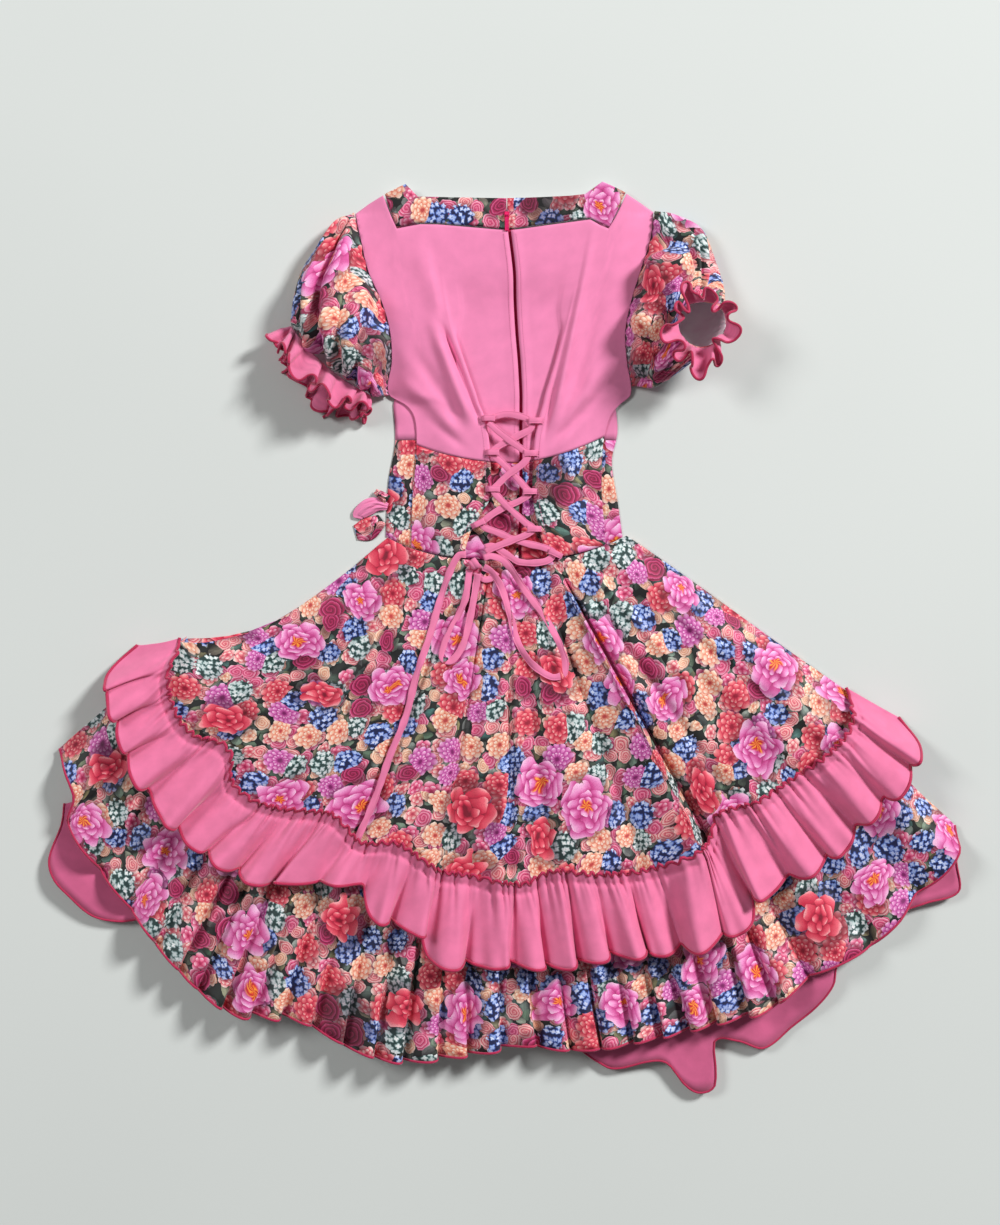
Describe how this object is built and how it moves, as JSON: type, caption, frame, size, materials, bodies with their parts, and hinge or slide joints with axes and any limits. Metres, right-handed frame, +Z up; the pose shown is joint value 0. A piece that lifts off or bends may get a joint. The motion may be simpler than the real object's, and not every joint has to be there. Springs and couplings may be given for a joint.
{
  "type": "cueca dress",
  "caption": "Full-skirted folk dance dress laid flat with its back up: laced pink bodice, floral sleeves, gathered ruffle and flounce, underskirt and ribbon lacing tied in a bow",
  "frame": {"origin": "the middle of the laid dress's outline, on the surface that it lies on", "axes": "+X to the right as the back is seen, +Y from the hem to the neck, +Z up from the surface"},
  "size_m": [1.0972, 1.0952, 0.0752],
  "materials": {
    "pink_crepe": "matte crepe",
    "ruffle_pink": "matte crepe",
    "floral_print": "soft printed",
    "slider_enamel": "glossy"
  },
  "bodies": {
    "dress": {"bodice_back_left": "pink_crepe", "bodice_back_right": "pink_crepe", "bodice_front": "pink_crepe", "cuff_ruffle_left": "ruffle_pink", "cuff_ruffle_right": "ruffle_pink", "flounce_back": "floral_print", "flounce_front": "floral_print", "lace_bow_left": "pink_crepe", "lace_bow_right": "pink_crepe", "lace_knot": "pink_crepe", "lace_run_first": "pink_crepe", "lace_run_second": "pink_crepe", "lace_tail_long": "pink_crepe", "lace_tail_short": "pink_crepe", "lacing_loop_left_1": "pink_crepe", "lacing_loop_left_2": "pink_crepe", "lacing_loop_left_3": "pink_crepe", "lacing_loop_left_4": "pink_crepe", "lacing_loop_right_1": "pink_crepe", "lacing_loop_right_2": "pink_crepe", "lacing_loop_right_3": "pink_crepe", "lacing_loop_right_4": "pink_crepe", "lacing_loop_right_5": "pink_crepe", "midriff_back_left": "floral_print", "midriff_back_right": "floral_print", "midriff_front": "floral_print", "neck_band_left": "floral_print", "neck_band_right": "floral_print", "ruffle_back": "ruffle_pink", "ruffle_front": "ruffle_pink", "side_bow_loop": "pink_crepe", "side_bow_tail": "floral_print", "side_bow_top": "floral_print", "skirt_back": "floral_print", "skirt_front": "floral_print", "sleeve_left": "floral_print", "sleeve_right": "floral_print", "underskirt_back": "pink_crepe", "underskirt_front": "pink_crepe", "zip_slider": "slider_enamel", "zip_tape": "pink_crepe"},
    "pull_tab": {"zip_pull_tab": "slider_enamel"}
  },
  "joints": [
    {"name": "pull_tab_turn", "type": "hinge", "parent": "dress", "child": "pull_tab", "pos_m": [0.00241, 0.50662, 0.01825], "axis": [-1, 0, 0], "range_deg": [0, 180]}
  ]
}
